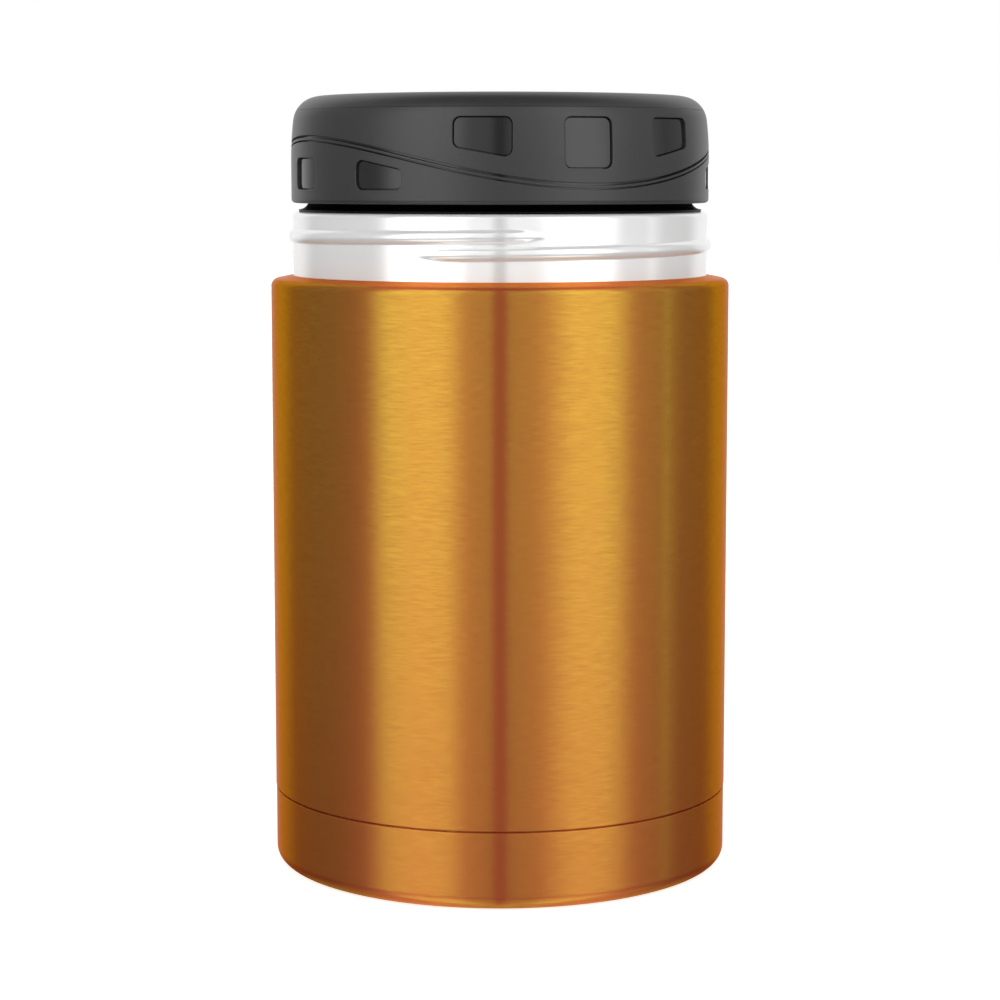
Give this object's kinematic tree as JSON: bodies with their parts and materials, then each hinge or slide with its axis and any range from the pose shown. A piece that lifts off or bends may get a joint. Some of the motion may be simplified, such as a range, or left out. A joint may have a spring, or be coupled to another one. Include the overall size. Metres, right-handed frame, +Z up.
{
  "type": "insulated food jar",
  "caption": "Vacuum-walled steel food jar with a coated body, a bare threaded neck and a screw-in stopper lid with a windowed sleeve.",
  "frame": {"origin": "middle of the base, on the plane that the jar stands on", "axes": "+Z up along the jar's axis, -Y towards the side where the neck's thread starts"},
  "size_m": [0.095, 0.095, 0.1595],
  "materials": {
    "bronze_coat": "clear bronze coat over brushed steel",
    "polished_steel": "polished bare steel",
    "satin_steel": "satin bare steel",
    "mill_steel": "unfinished steel",
    "copper_foil": "bright copper foil",
    "solder_glass": "fused glass bead",
    "getter_metal": "sintered metal",
    "matte_grey_plastic": "fine matte texture",
    "gloss_grey_plastic": "glossy",
    "plug_plastic": "satin",
    "black_silicone": "smooth silicone",
    "white_foam": "closed-cell foam, fabric stands in for its low density"
  },
  "bodies": {
    "jar": {"outer_shell": "bronze_coat", "neck_shell": "polished_steel", "inner_liner": "satin_steel", "liner_bottom": "satin_steel", "insulation_foil": "copper_foil", "vacuum_bottom": "mill_steel", "evacuation_seal": "solder_glass", "getter": "getter_metal", "getter_strap": "mill_steel", "base_cup": "bronze_coat"},
    "lid_foam": {"lid_insulation": "white_foam"},
    "lid_seal": {"rim_seal": "black_silicone"},
    "lid": {"lid_top_cover": "matte_grey_plastic", "lid_upper_shell": "matte_grey_plastic", "wave_trim": "matte_grey_plastic", "lid_lower_shell": "matte_grey_plastic", "lid_core": "gloss_grey_plastic", "stopper_plug": "plug_plastic", "stopper_base": "plug_plastic", "lid_joint_ring": "black_silicone"}
  },
  "joints": [
    {"name": "lid_lift", "type": "slide", "parent": "jar", "child": "lid_foam", "axis": [0, 0, 1], "range_m": [0, 0.12]},
    {"name": "lid_rise", "type": "slide", "parent": "lid_foam", "child": "lid_seal", "axis": [0, 0, 1], "range_m": [0, 0.004]},
    {"name": "lid_turn", "type": "hinge", "parent": "lid_seal", "child": "lid", "pos_m": [0, 0, 0.13602], "axis": [0, 0, 1], "range_deg": [0, 360]}
  ],
  "couplings": [
    {"joint": "lid_rise", "follows": "lid_turn", "m_per_rad": 0.0006366}
  ]
}
